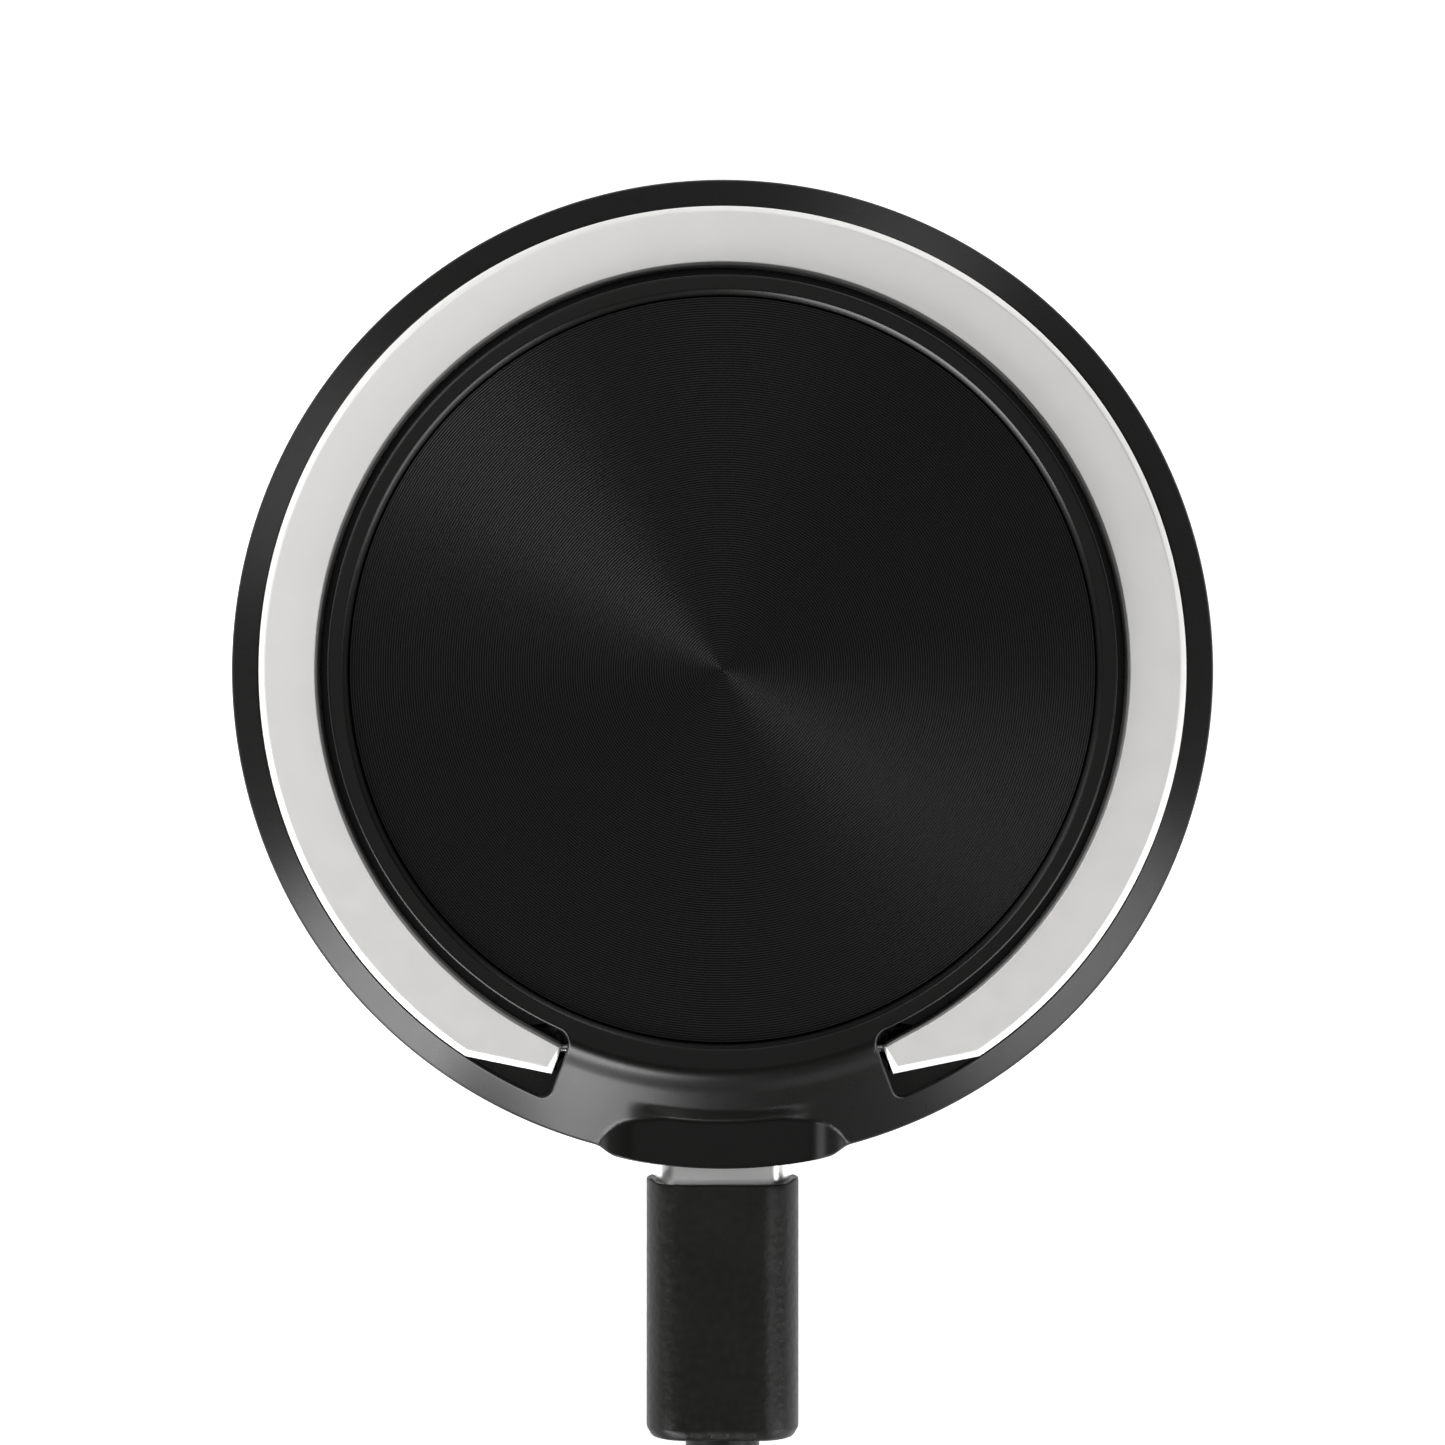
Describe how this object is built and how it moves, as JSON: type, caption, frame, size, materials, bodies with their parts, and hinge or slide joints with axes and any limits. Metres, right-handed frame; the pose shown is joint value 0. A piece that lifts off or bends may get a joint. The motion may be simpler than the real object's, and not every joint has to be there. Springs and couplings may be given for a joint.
{
  "type": "magnetic wireless charger",
  "caption": "Round magnetic wireless phone charger with a chromed ring that folds out of its back as a stand, and a plugged-in USB-C lead.",
  "frame": {"origin": "centre of the round face that touches the phone, which lies on the table", "axes": "+Z out of the charger's back along its round axis, -Y towards the USB-C socket and the lead, +X to the right seen from the back"},
  "size_m": [0.0719, 0.1409, 0.017],
  "materials": {
    "satin_black": "satin painted",
    "turned_black": "black anodised, finely turned",
    "adhesive_film": "clear acrylic tape",
    "front_black": "fine matt",
    "soft_pad": "soft matt silicone",
    "frame_grey": "moulded",
    "magnet_nickel": "nickel plated",
    "yoke_steel": "rolled",
    "coil_copper": "enamelled copper",
    "ferrite_grey": "sintered sheet",
    "shield_foil": "graphite foil",
    "board_green": "solder mask",
    "chip_black": "moulded epoxy",
    "capacitor_tan": "fired ceramic",
    "pad_pink": "gap filler",
    "screw_steel": "zinc plated",
    "socket_steel": "drawn stainless",
    "socket_black": "glass-filled nylon",
    "contact_gold": "gold flash",
    "hinge_bronze": "sintered bronze",
    "hinge_steel": "ground",
    "ring_chrome": "pearl chromed zinc alloy",
    "plug_nickel": "nickel plated, drawn",
    "overmold_black": "grained soft TPE",
    "cable_black": "smooth TPE jacket",
    "tie_black": "woven hook-and-loop"
  },
  "bodies": {
    "puck": {"rear_shell": "satin_black", "grooved_disc": "turned_black", "disc_adhesive": "adhesive_film", "cover_adhesive": "adhesive_film", "front_cover": "front_black", "contact_pad": "soft_pad", "carrier_frame": "frame_grey", "magnet_array": "magnet_nickel", "magnet_yoke": "yoke_steel", "charging_coil": "coil_copper", "coil_leads": "coil_copper", "ferrite_disc": "ferrite_grey", "heat_shield": "shield_foil", "circuit_board": "board_green", "power_chips": "chip_black", "inductors": "chip_black", "capacitors": "capacitor_tan", "thermal_pad": "pad_pink", "board_screws": "screw_steel", "usb_socket_shell": "socket_steel", "usb_socket_tongue": "socket_black", "usb_socket_contacts": "contact_gold", "hinge_bushings": "hinge_bronze", "hinge_friction_clips": "hinge_steel"},
    "kickstand": {"kickstand_ring": "ring_chrome", "hinge_pin_left": "hinge_steel", "hinge_pin_right": "hinge_steel"},
    "cable": {"plug_shell": "plug_nickel", "plug_insulator": "socket_black", "plug_contacts": "contact_gold", "plug_overmold": "overmold_black", "plug_strain_relief": "overmold_black", "cable_run": "cable_black", "cable_coil": "cable_black", "cable_end_run": "cable_black", "cable_tie": "tie_black", "far_plug_strain_relief": "overmold_black", "far_plug_overmold": "overmold_black", "far_plug_shell": "plug_nickel", "far_plug_insulator": "socket_black", "far_plug_contacts": "contact_gold"}
  },
  "joints": [
    {"name": "kickstand_hinge", "type": "hinge", "parent": "puck", "child": "kickstand", "pos_m": [0, -0.02305, 0.0074], "axis": [1, 0, 0], "range_deg": [0, 100]},
    {"name": "plug_pull", "type": "slide", "parent": "puck", "child": "cable", "axis": [0, -1, 0], "range_m": [0, 0.008]}
  ]
}
